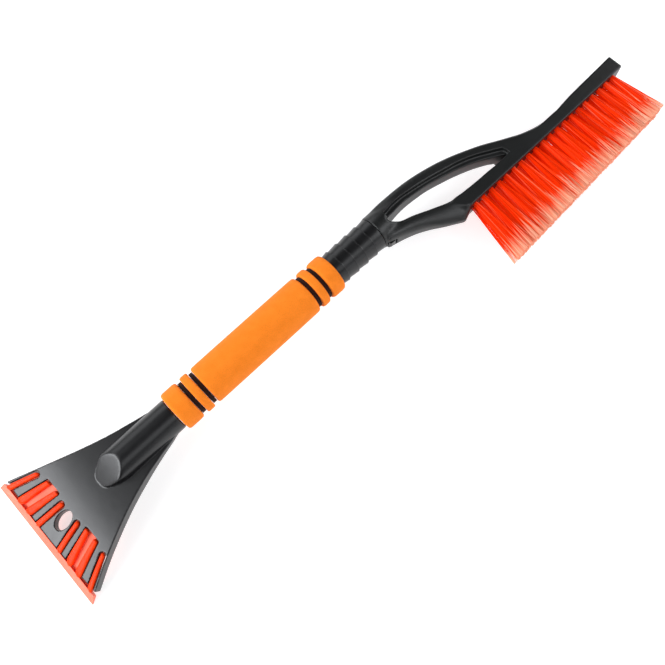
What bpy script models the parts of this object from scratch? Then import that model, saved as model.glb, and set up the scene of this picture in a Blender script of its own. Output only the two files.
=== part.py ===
"""Windshield ice scraper: a scraper head and a detachable snow brush on a foam-gripped tube.

The design axis is the handle's axis. Along it, x runs from the blade's edge (negative) to the end
of the brush (positive). The bristles point to -y and the scraper plate faces +z. Every piece is
drawn about that axis, and one empty then places the axis above the ground, so that the origin is
the bottom centre of the whole tool.
"""
from math import cos, pi, radians, sin

import bmesh
import bpy
from mathutils import Matrix, Vector

MM = 0.001
GAP = 0.3 * MM              # clearance between neighbouring pieces
STEPS = 32                  # facets round a turned piece
REACH = 60.0 * MM           # cutters run this far to both sides of the axis

# Tube and foam grip
TUBE_RADIUS = 13.0 * MM
TUBE_WALL = 1.4 * MM
TUBE_START = -189.0 * MM
TUBE_END = 84.0 * MM
FOAM_START = -145.0 * MM
FOAM_END = 36.0 * MM
FOAM_RADIUS = 18.8 * MM
FOAM_ROUNDING = 2.0 * MM
SPACER_RADIUS = 16.1 * MM
SPACER_LENGTH = 4.0 * MM
SMALL_RING = 8.0 * MM       # foam ring between two spacers
END_RING_LOWER = 16.6 * MM
END_RING_UPPER = 14.3 * MM

# Locking collar
COLLAR_START = FOAM_END + GAP
COLLAR_END = 88.0 * MM
COLLAR_RADIUS = 16.1 * MM
COLLAR_DIP = 1.0 * MM       # how far each ring tapers towards the foam
COLLAR_STEPS = [77.8, 66.4, 55.0, 43.6]

# Scraper head
HEAD_NECK_X = -150.0 * MM
HEAD_FRONT_X = -289.2 * MM  # the front bulges to here in its middle
HEAD_OUTLINE = [(-150.0, 12.9), (-160.0, 15.8), (-176.0, 19.3), (-204.0, 26.6), (-252.0, 45.0),
                (-286.6, 60.8)]
FRONT_DROP = 22.1 * MM      # how far the plate's face dips below the axis at its front
DROP_POWER = 2.8            # how late the dip comes
PLATE_THICKNESS = 2.8 * MM
SKIRT_THICKNESS = 2.8 * MM
SKIRT_DEPTH = 13.0 * MM
STEM_RADIUS = 15.0 * MM
STEM_START = -145.3 * MM
FACET_TOP = -200.0 * MM     # where the slanted facet starts on the stem's top
NOSE_START = -196.0 * MM    # seen from above, the stem narrows from here to its tip
NOSE_TIP = -229.5 * MM
NOSE_POWER = 2.3
NOSE_FULLNESS = 0.62
HOLE_X = -269.3 * MM
HOLE_LENGTH = 19.0 * MM
HOLE_WIDTH = 12.4 * MM
BOSS_WALL = 2.3 * MM
BOSS_DEPTH = 9.0 * MM

# Scraper blade: its ribs fan out from the stem, given by |y| at the back and the front of the comb
COMB_BACK_X = -262.5 * MM
RIB_ENDS = [(10.0, 14.4), (22.5, 28.4), (31.5, 40.6), (45.0, 55.0)]
RIB_RADII = [2.8, 3.1, 3.1, 2.8]
WINDOW_BACK = (18.0 * MM, 34.5 * MM)
WINDOW_FRONT = (23.6 * MM, 44.5 * MM)
WINDOW_BACK_X = -257.5 * MM
BLADE_BACK_X = -253.0 * MM
BLADE_EDGE_X = -296.9 * MM
BLADE_EDGE_Z = -32.0 * MM
BLADE_EDGE_HALF = 65.0 * MM
BLADE_LIP_HALF = 61.6 * MM
BLADE_EDGE_THICKNESS = 0.5 * MM
BLADE_BACK_THICKNESS = 3.4 * MM

# Brush handle
SEAM_X = COLLAR_END + GAP
ROOT_RADIUS = 16.6 * MM
SPIGOT_RADIUS = 11.2 * MM
SPIGOT_BORE = 7.5 * MM
SPIGOT_END = 46.0 * MM
BORE_END = 100.5 * MM
LOOP_THICKNESS = 22.0 * MM
LOOP_ROUNDING = 4.0 * MM
LOOP_CORNERS = [(0, 9, 10, 11, 12, 18), (6,)]   # sharp points of its outline and of its hand hole
BLOCK_FACE_Y = -44.5 * MM
BLOCK_END_X = 375.6 * MM

# Bristle stations
TUFTS = 20
TUFT_PITCH = 10.0 * MM
TUFT_FIRST_X = 173.5 * MM
TUFT_TIP_FIRST_X = 167.0 * MM
TUFT_TIP_PITCH = 10.24 * MM
TUFT_TIP_FIRST_Y = -105.6 * MM
TUFT_TIP_LAST_Y = -98.8 * MM
TUFT_ROOT = (5.4 * MM, 13.0 * MM)     # size along x and z where it leaves the block
TUFT_TIP = (9.9 * MM, 24.0 * MM)
POCKET_DEPTH = 9.0 * MM
ANCHOR_THICKNESS = 0.8 * MM

# Release button
BUTTON_START_X = 90.7 * MM
BUTTON_END_X = 98.7 * MM
BUTTON_WIDTH = 7.2 * MM
BUTTON_FACE_Y = -19.4 * MM
BUTTON_INNER_Y = -8.4 * MM
TOOTH = (74.0 * MM, 78.0 * MM)
TOOTH_OUTER_Y = -12.4 * MM
ARM_OUTER_Y = -10.4 * MM
ARM_WIDTH = 4.6 * MM
SPRING_RADIUS = 2.3 * MM
SPRING_WIRE = 0.4 * MM
SPRING_TURNS = 5

# Screws that fix the head and the collar to the tube
SCREW_SHANK_X = -166.0 * MM
SCREW_COLLAR_X = 41.4 * MM
SCREW_RADIUS = 1.5 * MM
SCREW_HEAD_RADIUS = 2.8 * MM
SCREW_HEAD = 1.2 * MM

# Where the handle's axis lies over the ground, and the tool's middle along and across it
AXIS_HEIGHT = BLADE_EDGE_THICKNESS - BLADE_EDGE_Z
MIDDLE_X = (BLADE_EDGE_X + BLOCK_END_X) / 2
MIDDLE_Y = (BLADE_EDGE_HALF + TUFT_TIP_FIRST_Y) / 2


# ---------------------------------------------------------------- scene and helpers

def clear_scene():
    for old in list(bpy.data.objects):
        bpy.data.objects.remove(old, do_unlink=True)


def new_collection(name):
    made = bpy.data.collections.new(name)
    bpy.context.scene.collection.children.link(made)
    return made


def make_material(name, colour, roughness, metallic=0.0):
    made = bpy.data.materials.new(name)
    made.use_nodes = True
    shader = made.node_tree.nodes["Principled BSDF"]
    shader.inputs["Base Color"].default_value = (*colour, 1.0)
    shader.inputs["Roughness"].default_value = roughness
    shader.inputs["Metallic"].default_value = metallic
    return made


def link(obj):
    PARTS.objects.link(obj)
    return obj


def baked(obj):
    """Replaces an object by a plain mesh object of the same name and shape, its modifiers applied."""
    bpy.context.view_layer.update()
    evaluated = obj.evaluated_get(bpy.context.evaluated_depsgraph_get())
    mesh = bpy.data.meshes.new_from_object(evaluated)
    mesh.transform(obj.matrix_world)
    welder = bmesh.new()
    welder.from_mesh(mesh)
    bmesh.ops.remove_doubles(welder, verts=welder.verts, dist=0.001 * MM)
    bmesh.ops.recalc_face_normals(welder, faces=welder.faces)
    welder.to_mesh(mesh)
    welder.free()
    name = obj.name
    bpy.data.objects.remove(obj, do_unlink=True)
    return link(bpy.data.objects.new(name, mesh))


def combine(target, tool, operation):
    """Booleans one closed mesh with another and uses the tool up."""
    step = target.modifiers.new(operation.lower(), "BOOLEAN")
    step.solver = "EXACT"
    step.operation = operation
    step.object = tool
    name = target.name
    done = baked(target)
    bpy.data.objects.remove(tool, do_unlink=True)
    done.name = name
    return done


def join(target, tool):
    return combine(target, tool, "UNION")


def cut(target, tool):
    return combine(target, tool, "DIFFERENCE")


def common(target, tool):
    return combine(target, tool, "INTERSECT")


def turned(name, profile, closed=False, steps=STEPS):
    """Turns (x, radius) points round the handle's axis; they run from the +x end to the -x end."""
    mesh = bpy.data.meshes.new(name)
    points = [(radius, 0.0, x) for x, radius in profile]
    edges = [(i, i + 1) for i in range(len(points) - 1)]
    if closed:
        edges.append((len(points) - 1, 0))
    mesh.from_pydata(points, edges, [])
    obj = link(bpy.data.objects.new(name, mesh))
    screw = obj.modifiers.new("screw", "SCREW")
    screw.axis = "Z"
    screw.steps = steps
    screw.render_steps = steps
    screw.use_merge_vertices = True
    screw.merge_threshold = 0.01 * MM
    obj.rotation_euler = (0.0, pi / 2, 0.0)
    return baked(obj)


def prism(name, points, low, high, plane="XY", corners=None, rounding=0.0, resolution=4):
    """A filled flat outline given a thickness.

    Points are smooth unless their index is in corners, or corners is None, which makes all of them
    corners. Plane XY is seen from above, and plane XZ is a side view whose thickness runs along y.
    """
    curve = bpy.data.curves.new(name, "CURVE")
    curve.dimensions = "2D"
    curve.fill_mode = "BOTH"
    curve.resolution_u = resolution
    curve.render_resolution_u = 0
    outlines = points if isinstance(points[0], list) else [points]
    sharp = corners if corners is None or isinstance(points[0], list) else [corners]
    for which, outline in enumerate(outlines):
        spline = curve.splines.new("BEZIER")
        spline.bezier_points.add(len(outline) - 1)
        spline.use_cyclic_u = True
        for index, (place, point) in enumerate(zip(outline, spline.bezier_points)):
            point.co = (*place, 0.0)
            is_corner = sharp is None or index in sharp[which]
            point.handle_left_type = "VECTOR" if is_corner else "AUTO"
            point.handle_right_type = point.handle_left_type
        if sharp is None:
            spline.resolution_u = 1
    curve.extrude = (high - low) / 2 - rounding
    curve.bevel_depth = rounding
    curve.bevel_resolution = 1 if rounding else 0
    curve.offset = -rounding
    obj = link(bpy.data.objects.new(name, curve))
    middle = (high + low) / 2
    if plane == "XZ":
        obj.rotation_euler = (pi / 2, 0.0, 0.0)
        obj.location = (0.0, middle, 0.0)
    else:
        obj.location = (0.0, 0.0, middle)
    return baked(obj)


def block(name, low, high):
    """A box between two corners."""
    mesh = bpy.data.meshes.new(name)
    maker = bmesh.new()
    bmesh.ops.create_cube(maker, size=1.0)
    size = Vector(high) - Vector(low)
    place = Matrix.Translation((Vector(high) + Vector(low)) / 2) @ Matrix.Diagonal((*size, 1.0))
    bmesh.ops.transform(maker, matrix=place, verts=maker.verts)
    maker.to_mesh(mesh)
    maker.free()
    return link(bpy.data.objects.new(name, mesh))


def rod(name, start, end, radius, facets=12, round_ends=False):
    """A round bar between two points; round ends are half balls past the points."""
    start, end = Vector(start), Vector(end)
    run = end - start
    turn = run.to_track_quat("Z", "Y").to_matrix().to_4x4()
    mesh = bpy.data.meshes.new(name)
    maker = bmesh.new()
    if round_ends:
        rings = facets // 2
        made = bmesh.ops.create_uvsphere(maker, u_segments=facets, v_segments=rings, radius=radius)
        for vert in made["verts"]:
            if vert.co.z > 0.01 * MM:
                vert.co.z += run.length
        ball_middle = [v for v in made["verts"] if abs(v.co.z) <= 0.01 * MM]
        for vert in ball_middle:
            vert.co.z = run.length / 2
    else:
        bmesh.ops.create_cone(maker, cap_ends=True, segments=facets, radius1=radius, radius2=radius,
                              depth=run.length,
                              matrix=Matrix.Translation((0.0, 0.0, run.length / 2)))
    bmesh.ops.transform(maker, matrix=Matrix.Translation(start) @ turn, verts=maker.verts)
    maker.to_mesh(mesh)
    maker.free()
    return link(bpy.data.objects.new(name, mesh))


def ellipse(centre_x, half_x, half_y, count=20):
    return [(centre_x + half_x * cos(2 * pi * i / count), half_y * sin(2 * pi * i / count))
            for i in range(count)]


def scaled(points):
    return [(x * MM, y * MM) for x, y in points]


def mirrored(half):
    """Closes a half outline, given on +y, with its mirror image on -y."""
    return half + [(x, -y) for x, y in reversed(half)]


# ---------------------------------------------------------------- scraper head and blade

def face_z(x):
    """Height of the plate's upper face over the axis."""
    share = max(0.0, (HEAD_NECK_X - x) / (HEAD_NECK_X - HEAD_FRONT_X))
    return -FRONT_DROP * share ** DROP_POWER


def skirt_z(x):
    """Height of the skirts' lower edge: shallow at the neck, full depth past the stem's shoulder."""
    share = min(1.0, max(0.0, (HEAD_NECK_X - x) / (50.0 * MM)))
    return face_z(x) - SKIRT_DEPTH * (0.35 + 0.65 * share)


def side_slab(name, x_from, x_to, top, bottom, half_width=80.0 * MM, count=12):
    """Everything between two heights, each a function of x, from one x to another."""
    stations = [x_from + (x_to - x_from) * i / count for i in range(count + 1)]
    outline = [(x, top(x)) for x in stations] + [(x, bottom(x)) for x in reversed(stations)]
    return prism(name, outline, -half_width, half_width, plane="XZ")


def head_plan(name, inset=0.0, past_front=0.0, neck=HEAD_NECK_X):
    """The fan outline seen from above, pulled in by inset and run on past the front."""
    half = [(x, y - inset) for x, y in scaled(HEAD_OUTLINE) if x <= neck]
    (x1, y1), (x2, y2) = half[-2], half[-1]
    slope = (y2 - y1) / (x1 - x2)
    half[-1] = (x2 - past_front, y2 + slope * past_front)
    last = len(half) - 1
    outline = half + [(HEAD_FRONT_X - past_front, 0.0)] + [(x, -y) for x, y in reversed(half)]
    return prism(name, outline, -REACH, REACH, corners=(0, last, last + 2, 2 * last + 2))


def rib_line(back_y, front_y, radius):
    """Both ends of a rib, sunk so that it stands about half its radius over the plate's face."""
    sunk = 0.55 * radius
    front_x = HEAD_FRONT_X - 0.8 * MM
    back = Vector((COMB_BACK_X, back_y, face_z(COMB_BACK_X) - sunk))
    front = Vector((front_x, front_y, face_z(HEAD_FRONT_X) - sunk))
    return back, front


def comb_slot(name, back_y, front_y, radius):
    """A slot for one rib, round at its back and open at the plate's front."""
    back, front = (end.xy for end in rib_line(back_y, front_y, radius))
    along = (front - back).normalized()
    across = Vector((-along.y, along.x))
    reach = radius + GAP
    arc = [pi * (i / 8 - 0.5) for i in range(9)]
    outline = [back + reach * (sin(a) * across - cos(a) * along) for a in arc]
    outline += [outline[-1] + 35.0 * MM * along, outline[0] + 35.0 * MM * along]
    outline = [tuple(point) for point in outline]
    return prism(name, outline, -REACH, REACH)


def comb_window(name, side):
    """A wide window for two ribs, open at the plate's front."""
    past = 10.0 * MM
    share = past / (WINDOW_BACK_X - HEAD_FRONT_X)
    inner = WINDOW_FRONT[0] + (WINDOW_FRONT[0] - WINDOW_BACK[0]) * share
    outer = WINDOW_FRONT[1] + (WINDOW_FRONT[1] - WINDOW_BACK[1]) * share
    front = HEAD_FRONT_X - past
    outline = [(WINDOW_BACK_X, side * WINDOW_BACK[0]), (front, side * inner),
               (front, side * outer), (WINDOW_BACK_X, side * WINDOW_BACK[1])]
    return prism(name, outline, -REACH, REACH)


def make_stem():
    """The round stem: its nose narrows to a rounded tip, and a slanted facet takes off its top."""
    back_end = NOSE_TIP - 2.0 * MM
    stem = turned("stem", [(STEM_START, 0.0), (STEM_START, STEM_RADIUS), (back_end, STEM_RADIUS),
                           (back_end, 0.0)])
    clear = STEM_RADIUS + 5.0 * MM
    side = [(STEM_START + MM, clear), (NOSE_START, clear)]
    count = 8
    for i in range(count):
        share = i / count
        width = (1 - share ** NOSE_POWER) ** NOSE_FULLNESS
        side.append((NOSE_START + (NOSE_TIP - NOSE_START) * share, (STEM_RADIUS + 0.2 * MM) * width))
    outline = side + [(NOSE_TIP, 0.0)] + [(x, -y) for x, y in reversed(side)]
    stem = common(stem, prism("nose", outline, -REACH, REACH))
    run = FACET_TOP - NOSE_TIP
    fall = STEM_RADIUS - face_z(NOSE_TIP)
    past = 0.3
    wedge = [(FACET_TOP + past * run, STEM_RADIUS + past * fall),
             (NOSE_TIP - past * run, face_z(NOSE_TIP) - past * fall),
             (NOSE_TIP - past * run, STEM_RADIUS + past * fall)]
    return cut(stem, prism("facet", wedge, -REACH, REACH, plane="XZ"))


def make_scraper_head():
    head = head_plan("scraper_head")
    head = common(head, side_slab("outer", HEAD_NECK_X + MM, HEAD_FRONT_X - MM, face_z, skirt_z))
    hollow = head_plan("hollow", inset=SKIRT_THICKNESS, past_front=20.0 * MM, neck=-175.0 * MM)
    hollow = common(hollow, side_slab("under_plate", -140.0 * MM, -310.0 * MM,
                                      lambda x: face_z(x) - PLATE_THICKNESS,
                                      lambda x: face_z(x) - 30.0 * MM))
    head = cut(head, hollow)

    boss = prism("boss", ellipse(HOLE_X, HOLE_LENGTH / 2 + BOSS_WALL, HOLE_WIDTH / 2 + BOSS_WALL),
                 -REACH, REACH)
    boss = common(boss, side_slab("boss_height", -240.0 * MM, -300.0 * MM,
                                  lambda x: face_z(x) - 0.4 * PLATE_THICKNESS,
                                  lambda x: face_z(x) - BOSS_DEPTH))
    head = join(head, boss)

    head = join(head, make_stem())

    for side in (1, -1):
        head = cut(head, comb_window("window", side))
        for index in (0, 3):
            back_y, front_y = (side * MM * v for v in RIB_ENDS[index])
            head = cut(head, comb_slot("slot", back_y, front_y, RIB_RADII[index] * MM))
    hole = prism("hole", ellipse(HOLE_X, HOLE_LENGTH / 2, HOLE_WIDTH / 2), -REACH, REACH)
    head = cut(head, hole)
    bore = TUBE_RADIUS + GAP
    head = cut(head, rod("bore", (TUBE_START - GAP, 0, 0), (STEM_START + 5 * MM, 0, 0), bore, STEPS))
    return cut(head, screw_hole(SCREW_SHANK_X, STEM_RADIUS))


def make_scraper_blade():
    inner = SKIRT_THICKNESS + 1.6 * GAP
    slope = (HEAD_OUTLINE[-1][1] - HEAD_OUTLINE[-2][1]) / (HEAD_OUTLINE[-2][0] - HEAD_OUTLINE[-1][0])
    lip_x = HEAD_FRONT_X - GAP
    front_half = HEAD_OUTLINE[-1][1] * MM - inner
    back_half = front_half - slope * (BLADE_BACK_X - lip_x)
    half = [(BLADE_BACK_X, back_half), (lip_x, front_half), (lip_x - 0.1 * MM, BLADE_LIP_HALF),
            (BLADE_EDGE_X, BLADE_EDGE_HALF)]
    blade = prism("scraper_blade", mirrored(half), -REACH, REACH)

    count = 8
    stations = [BLADE_BACK_X + (lip_x - BLADE_BACK_X) * i / count for i in range(count + 1)]
    under = PLATE_THICKNESS + GAP
    side = [(x, face_z(x) - under) for x in stations]
    side += [(lip_x, -FRONT_DROP - 0.2 * MM), (BLADE_EDGE_X, BLADE_EDGE_Z),
             (BLADE_EDGE_X, BLADE_EDGE_Z - BLADE_EDGE_THICKNESS),
             (BLADE_BACK_X, face_z(BLADE_BACK_X) - under - BLADE_BACK_THICKNESS)]
    blade = common(blade, prism("wedge", side, -80.0 * MM, 80.0 * MM, plane="XZ"))

    for side in (1, -1):
        for (back_y, front_y), radius in zip(RIB_ENDS, RIB_RADII):
            back, front = rib_line(side * back_y * MM, side * front_y * MM, radius * MM)
            blade = join(blade, rod("rib", back, front, radius * MM, facets=10, round_ends=True))
    reach = BOSS_WALL + 1.2 * GAP
    return cut(blade, prism("boss_hole", ellipse(HOLE_X, HOLE_LENGTH / 2 + reach, HOLE_WIDTH / 2 + reach),
                            -REACH, REACH))


# ---------------------------------------------------------------- tube, screws, grip and collar

def screw_hole(x, surface):
    """Cutter for a countersunk hole from below, through a wall and the tube."""
    profile = [(-9.0 * MM, 0.0), (-9.0 * MM, SCREW_RADIUS + GAP),
               (-surface + SCREW_HEAD + GAP + 0.4 * MM, SCREW_RADIUS + GAP),
               (-surface + SCREW_HEAD + GAP + 0.4 * MM, SCREW_HEAD_RADIUS + GAP),
               (-surface - 3.0 * MM, SCREW_HEAD_RADIUS + GAP), (-surface - 3.0 * MM, 0.0)]
    return upright("screw_hole", profile, x)


def upright(name, profile, x):
    """Turns (z, radius) points, from the top down, round a vertical line through the axis at x."""
    made = turned(name, profile, steps=12)
    made.rotation_euler = (0.0, -pi / 2, 0.0)
    made.location = (x, 0.0, 0.0)
    return baked(made)


def make_screw(name, x, surface):
    tip = -TUBE_RADIUS + TUBE_WALL + 1.5 * MM
    face = -surface + 0.4 * MM
    profile = [(tip, 0.0), (tip - 0.8 * MM, SCREW_RADIUS), (face + SCREW_HEAD, SCREW_RADIUS),
               (face + SCREW_HEAD, SCREW_HEAD_RADIUS), (face, SCREW_HEAD_RADIUS), (face, 0.0)]
    return upright(name, profile, x)


def ring_profile(start, end, inner, outer, rounding):
    """Section of a sleeve whose two outer corners are rounded."""
    arc = [radians(angle) for angle in (90, 60, 30, 0)]
    points = [(end, inner)]
    points += [(end - rounding + rounding * sin(a), outer - rounding + rounding * cos(a)) for a in arc]
    points += [(start + rounding - rounding * sin(a), outer - rounding + rounding * cos(a))
               for a in reversed(arc)]
    points.append((start, inner))
    return points


def make_grip():
    """The foam sections and the spacer rings between them, from the scraper's end."""
    spacer = SPACER_LENGTH
    lower = [END_RING_LOWER, spacer, SMALL_RING, spacer]
    upper = [spacer, SMALL_RING, spacer, END_RING_UPPER]
    body = FOAM_END - FOAM_START - sum(lower) - sum(upper)
    names = ["foam_end_ring_lower", "spacer_ring_1", "foam_small_ring_lower", "spacer_ring_2",
             "foam_grip_body", "spacer_ring_3", "foam_small_ring_upper", "spacer_ring_4",
             "foam_end_ring_upper"]
    bore = TUBE_RADIUS + GAP
    start = FOAM_START
    made = []
    for name, length in zip(names, lower + [body] + upper):
        end = start + length
        is_foam = name.startswith("foam")
        outer = FOAM_RADIUS if is_foam else SPACER_RADIUS
        rounding = FOAM_ROUNDING if is_foam else 0.3 * MM
        low = start if start == FOAM_START else start + GAP / 2
        high = end if name == names[-1] else end - GAP / 2
        ring = turned(name, ring_profile(low, high, bore, outer, rounding), closed=True)
        made.append((ring, FOAM if is_foam else BLACK_FOAM))
        start = end
    return made


def make_collar():
    """Rings that taper towards the foam, each ending in a small step."""
    bore = TUBE_RADIUS + GAP
    profile = [(COLLAR_END, bore), (COLLAR_END, COLLAR_RADIUS)]
    for step in COLLAR_STEPS:
        profile += [(step * MM + 0.6 * MM, COLLAR_RADIUS - COLLAR_DIP), (step * MM, COLLAR_RADIUS)]
    profile += [(COLLAR_START, COLLAR_RADIUS - COLLAR_DIP), (COLLAR_START, bore)]
    collar = turned("locking_collar", profile, closed=True)
    return cut(collar, screw_hole(SCREW_COLLAR_X, COLLAR_RADIUS))


def make_tube():
    inner = TUBE_RADIUS - TUBE_WALL
    tube = turned("handle_tube", [(TUBE_END, inner), (TUBE_END, TUBE_RADIUS), (TUBE_START, TUBE_RADIUS),
                                  (TUBE_START, inner)], closed=True)
    for x, surface in ((SCREW_SHANK_X, STEM_RADIUS), (SCREW_COLLAR_X, COLLAR_RADIUS)):
        tube = cut(tube, screw_hole(x, surface))
    half = ARM_WIDTH / 2 + GAP
    keyway = block("keyway", (TOOTH[0] - 2.0 * MM, -TUBE_RADIUS - MM, -half),
                   (TUBE_END + MM, -inner + 2.0 * MM, half))
    return cut(tube, keyway)


# ---------------------------------------------------------------- brush half

def loop_outline():
    """The brush handle seen from above, anticlockwise from the root, with its hand hole."""
    end = BLOCK_END_X / MM
    outer = [(91.0, 15.0), (112.0, 16.2), (163.0, 11.6), (213.0, -4.6), (241.0, -18.8), (256.0, -26.0),
             (275.0, -31.2), (295.0, -32.0), (321.0, -30.8), (end, -29.1), (end, -44.5),
             (168.5, -44.5), (165.8, -48.4), (154.2, -48.1), (140.8, -40.3), (126.6, -31.0),
             (111.2, -23.9), (98.0, -19.6), (91.0, -17.6)]
    hole = [(104.8, -2.2), (116.0, 0.9), (147.0, -0.6), (171.0, -5.6), (195.0, -13.0), (210.0, -19.4),
            (232.0, -31.8), (215.0, -32.2), (201.0, -31.6), (180.0, -30.8), (161.0, -28.6),
            (142.0, -21.6), (123.0, -13.6), (107.4, -6.6)]
    return scaled(outer), scaled(hole)


def make_brush_handle():
    outer, hole = loop_outline()
    handle = prism("brush_handle", [outer, hole], -LOOP_THICKNESS / 2, LOOP_THICKNESS / 2,
                   corners=LOOP_CORNERS, rounding=LOOP_ROUNDING)
    root = turned("root", [(103.6 * MM, 0.0), (103.2 * MM, 10.0 * MM), (100.8 * MM, 14.0 * MM),
                           (96.0 * MM, ROOT_RADIUS), (SEAM_X, ROOT_RADIUS), (SEAM_X, SPIGOT_RADIUS),
                           (SPIGOT_END + MM, SPIGOT_RADIUS), (SPIGOT_END, SPIGOT_RADIUS - MM),
                           (SPIGOT_END, 0.0)])
    handle = join(handle, root)
    handle = cut(handle, rod("bore", (SPIGOT_END - 5 * MM, 0, 0), (BORE_END, 0, 0), SPIGOT_BORE, 24))

    clear = BUTTON_WIDTH / 2 + GAP
    pocket = block("pocket", (BUTTON_START_X - GAP, -25.0 * MM, -clear),
                   (BUTTON_END_X + GAP, -2.0 * MM, clear))
    handle = cut(handle, pocket)
    clear = ARM_WIDTH / 2 + GAP
    slot = block("arm_slot", (TOOTH[0] - GAP, -SPIGOT_RADIUS - MM, -clear),
                 (BUTTON_START_X, -4.0 * MM, clear))
    handle = cut(handle, slot)

    half_x = TUFT_ROOT[0] / 2 + GAP
    half_z = TUFT_ROOT[1] / 2 + GAP
    for index in range(TUFTS):
        x = TUFT_FIRST_X + TUFT_PITCH * index
        pocket = block("tuft_pocket", (x - half_x, BLOCK_FACE_Y - 5 * MM, -half_z),
                       (x + half_x, BLOCK_FACE_Y + POCKET_DEPTH, half_z))
        handle = cut(handle, pocket)
    return handle


def make_tuft(index):
    """One bristle station: a straight root in its pocket, then a fan towards the tips."""
    share = index / (TUFTS - 1)
    root_x = TUFT_FIRST_X + TUFT_PITCH * index
    tip_x = TUFT_TIP_FIRST_X + TUFT_TIP_PITCH * index
    tip_y = TUFT_TIP_FIRST_Y + (TUFT_TIP_LAST_Y - TUFT_TIP_FIRST_Y) * share
    top_y = BLOCK_FACE_Y + POCKET_DEPTH - ANCHOR_THICKNESS - 2 * GAP
    fan_y = BLOCK_FACE_Y - MM
    name = f"tuft_{index + 1:02d}"
    mesh = bpy.data.meshes.new(name)
    maker = bmesh.new()
    sections = ((root_x, top_y, TUFT_ROOT), (root_x, fan_y, TUFT_ROOT), (tip_x, tip_y, TUFT_TIP))
    rings = []
    for x, y, (length, width) in sections:
        corner = 0.3 * length
        half_x, half_z = length / 2, width / 2
        outline = [(half_x - corner, half_z), (half_x, half_z - corner), (half_x, corner - half_z),
                   (half_x - corner, -half_z), (corner - half_x, -half_z), (-half_x, corner - half_z),
                   (-half_x, half_z - corner), (corner - half_x, half_z)]
        rings.append([maker.verts.new((x + dx, y, dz)) for dx, dz in outline])
    for first, second in zip(rings, rings[1:]):
        for i in range(len(first)):
            j = (i + 1) % len(first)
            maker.faces.new((first[i], first[j], second[j], second[i]))
    maker.faces.new(rings[0])
    maker.faces.new(rings[-1])
    bmesh.ops.recalc_face_normals(maker, faces=maker.faces)
    maker.to_mesh(mesh)
    maker.free()
    return link(bpy.data.objects.new(name, mesh))


def make_anchor(index):
    """The flat wire that holds a tuft, lying across the bottom of its pocket."""
    x = TUFT_FIRST_X + TUFT_PITCH * index
    bottom = BLOCK_FACE_Y + POCKET_DEPTH - GAP
    half_x = TUFT_ROOT[0] / 2 - 0.4 * MM
    half_z = TUFT_ROOT[1] / 2 - 0.4 * MM
    return block(f"tuft_anchor_{index + 1:02d}", (x - half_x, bottom - ANCHOR_THICKNESS, -half_z),
                 (x + half_x, bottom, half_z))


def make_button():
    """The button, and the arm that carries its latch tooth into the keyway."""
    half = BUTTON_WIDTH / 2
    button = block("release_button", (BUTTON_START_X, BUTTON_FACE_Y, -half),
                   (BUTTON_END_X, BUTTON_INNER_Y, half))
    edge = button.modifiers.new("edge", "BEVEL")
    edge.width = 0.8 * MM
    edge.segments = 2
    button = baked(button)
    half = ARM_WIDTH / 2
    arm = block("arm", (TOOTH[0], ARM_OUTER_Y, -half),
                (BUTTON_START_X + 2.0 * MM, BUTTON_INNER_Y - 0.2 * MM, half))
    tooth = block("tooth", (TOOTH[0], TOOTH_OUTER_Y, -half + 0.1 * MM),
                  (TOOTH[1], ARM_OUTER_Y + 0.5 * MM, half - 0.1 * MM))
    return join(join(button, arm), tooth)


def make_spring():
    """Coil spring along y, between the button and the far wall of the bore."""
    low = BUTTON_INNER_Y + GAP + SPRING_WIRE
    high = SPIGOT_BORE - 0.8 * MM - SPRING_WIRE
    per_turn = 10
    total = SPRING_TURNS * per_turn
    middle_x = (BUTTON_START_X + BUTTON_END_X) / 2
    curve = bpy.data.curves.new("button_spring", "CURVE")
    curve.dimensions = "3D"
    curve.bevel_depth = SPRING_WIRE
    curve.bevel_resolution = 1
    curve.use_fill_caps = True
    spline = curve.splines.new("POLY")
    spline.points.add(total)
    for i, point in enumerate(spline.points):
        angle = 2 * pi * i / per_turn
        point.co = (middle_x + SPRING_RADIUS * cos(angle), low + (high - low) * i / total,
                    SPRING_RADIUS * sin(angle), 1.0)
    return baked(link(bpy.data.objects.new("button_spring", curve)))


# ---------------------------------------------------------------- assembly

def empty(name, location, parent=None):
    made = bpy.data.objects.new(name, None)
    made.location = location
    made.parent = parent
    bpy.context.scene.collection.objects.link(made)
    return made


def settle(obj, material, parent, origin):
    """Gives a piece its material and hangs it on its group's empty, with its origin there."""
    obj.data.transform(Matrix.Translation(-Vector(origin)))
    obj.data.materials.clear()
    obj.data.materials.append(material)
    obj.data.shade_smooth()
    obj.data.set_sharp_from_angle(angle=radians(35))
    obj.parent = parent


clear_scene()
PARTS = new_collection("windshield_ice_scraper")
FOAM = make_material("orange_foam", (0.95, 0.25, 0.03), 0.85)
BLACK_FOAM = make_material("black_foam", (0.02, 0.01, 0.01), 0.9)
BLACK_PLASTIC = make_material("black_plastic", (0.02, 0.02, 0.022), 0.35)
BLADE_PLASTIC = make_material("orange_polycarbonate", (0.95, 0.16, 0.05), 0.2)
BRISTLE = make_material("orange_bristle", (0.95, 0.06, 0.0), 0.5)
TUBE_METAL = make_material("aluminium_tube", (0.8, 0.8, 0.82), 0.35, 1.0)
STEEL = make_material("spring_steel", (0.6, 0.6, 0.62), 0.3, 1.0)

AXIS = empty("handle_axis", (-MIDDLE_X, -MIDDLE_Y, AXIS_HEIGHT))
PULL_ORIGIN = (SEAM_X, 0.0, 0.0)
PRESS_ORIGIN = ((BUTTON_START_X + BUTTON_END_X) / 2, BUTTON_FACE_Y, 0.0)
BRUSH = empty("brush_half", PULL_ORIGIN, AXIS)
PRESS = empty("button_guide", Vector(PRESS_ORIGIN) - Vector(PULL_ORIGIN), BRUSH)

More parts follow.
